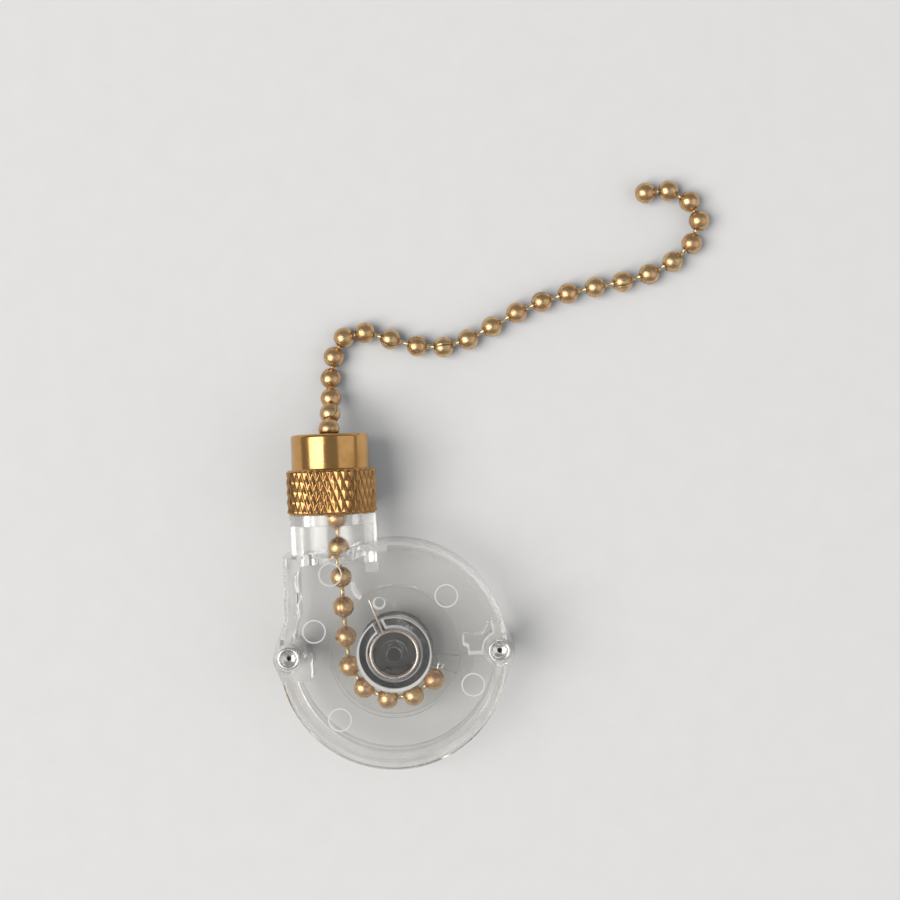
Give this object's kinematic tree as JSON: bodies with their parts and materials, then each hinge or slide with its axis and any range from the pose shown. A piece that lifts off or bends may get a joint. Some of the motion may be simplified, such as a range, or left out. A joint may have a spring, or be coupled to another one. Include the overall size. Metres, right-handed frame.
{
  "type": "chain pull switch",
  "caption": "Clear-cased pull switch: a bead chain runs through a knurled brass nut and neck to a sprung drum that indexes a contact rotor.",
  "frame": {"origin": "on the drum's axis, at the case's rear face", "axes": "+Z out of the window, along the drum's axis; +Y along the neck, towards the nut"},
  "size_m": [0.0514, 0.065, 0.0116],
  "materials": {
    "clear_plastic": "clear moulded",
    "polished_brass": "polished",
    "chain_brass": "aged",
    "contact_brass": "plain",
    "plated_steel": "nickel plated",
    "spring_steel": "drawn wire",
    "dark_plastic": "moulded"
  },
  "bodies": {
    "housing": {"front_shell": "clear_plastic", "left_contact": "contact_brass", "left_rivet": "plated_steel", "rear_shell": "clear_plastic", "return_spring": "spring_steel", "right_contact": "contact_brass", "right_rivet": "plated_steel"},
    "chain_run": {"run_links": "chain_brass", "run_bead_01": "chain_brass", "run_bead_02": "chain_brass", "run_bead_03": "chain_brass", "run_bead_04": "chain_brass", "run_bead_05": "chain_brass", "run_bead_06": "chain_brass", "run_bead_07": "chain_brass", "run_bead_08": "chain_brass"},
    "drum": {"chain_drum": "clear_plastic", "drum_links": "chain_brass", "drum_bead_01": "chain_brass", "drum_bead_02": "chain_brass", "drum_bead_03": "chain_brass", "drum_bead_04": "chain_brass"},
    "rotor": {"contact_rotor": "dark_plastic", "contact_star": "contact_brass"},
    "chain_free": {"pull_links": "chain_brass", "pull_bead_01": "chain_brass", "pull_bead_02": "chain_brass", "pull_bead_03": "chain_brass", "pull_bead_04": "chain_brass", "pull_bead_05": "chain_brass", "pull_bead_06": "chain_brass", "pull_bead_07": "chain_brass", "pull_bead_08": "chain_brass", "pull_bead_09": "chain_brass", "pull_bead_10": "chain_brass", "pull_bead_11": "chain_brass", "pull_bead_12": "chain_brass", "pull_bead_13": "chain_brass", "pull_bead_14": "chain_brass", "pull_bead_15": "chain_brass", "pull_bead_16": "chain_brass", "pull_bead_17": "chain_brass", "pull_bead_18": "chain_brass", "pull_bead_19": "chain_brass", "pull_bead_20": "chain_brass", "pull_bead_21": "chain_brass", "pull_bead_22": "chain_brass", "pull_bead_23": "chain_brass", "pull_bead_24": "chain_brass"},
    "nut": {"knurled_nut": "polished_brass"}
  },
  "joints": [
    {"name": "chain_pull", "type": "slide", "parent": "housing", "child": "chain_run", "axis": [-0.0444, 0.999, 0], "range_m": [0, 0.00565], "stiffness_N_per_m": 500, "springref_m": -0.004},
    {"name": "drum_turn", "type": "hinge", "parent": "housing", "child": "drum", "pos_m": [0, 0, 0.0058], "axis": [0, 0, -1], "range_deg": [0, 60], "deforming": ["return_spring"]},
    {"name": "rotor_turn", "type": "hinge", "parent": "housing", "child": "rotor", "pos_m": [0, 0, 0.0024], "axis": [0, 0, -1], "range_deg": [0, 60]},
    {"name": "chain_swing", "type": "hinge", "parent": "chain_run", "child": "chain_free", "pos_m": [-0.00653, 0.02524, 0.0058], "axis": [0, 0, 1], "range_deg": [-20, 20]},
    {"name": "nut_turn", "type": "hinge", "parent": "housing", "child": "nut", "pos_m": [-0.0065, 0.0156, 0.0058], "axis": [0, 1, 0], "continuous": true}
  ],
  "couplings": [
    {"joint": "drum_turn", "follows": "chain_pull", "rad_per_m": 185.19},
    {"joint": "rotor_turn", "follows": "chain_pull", "rad_per_m": 185.19}
  ]
}
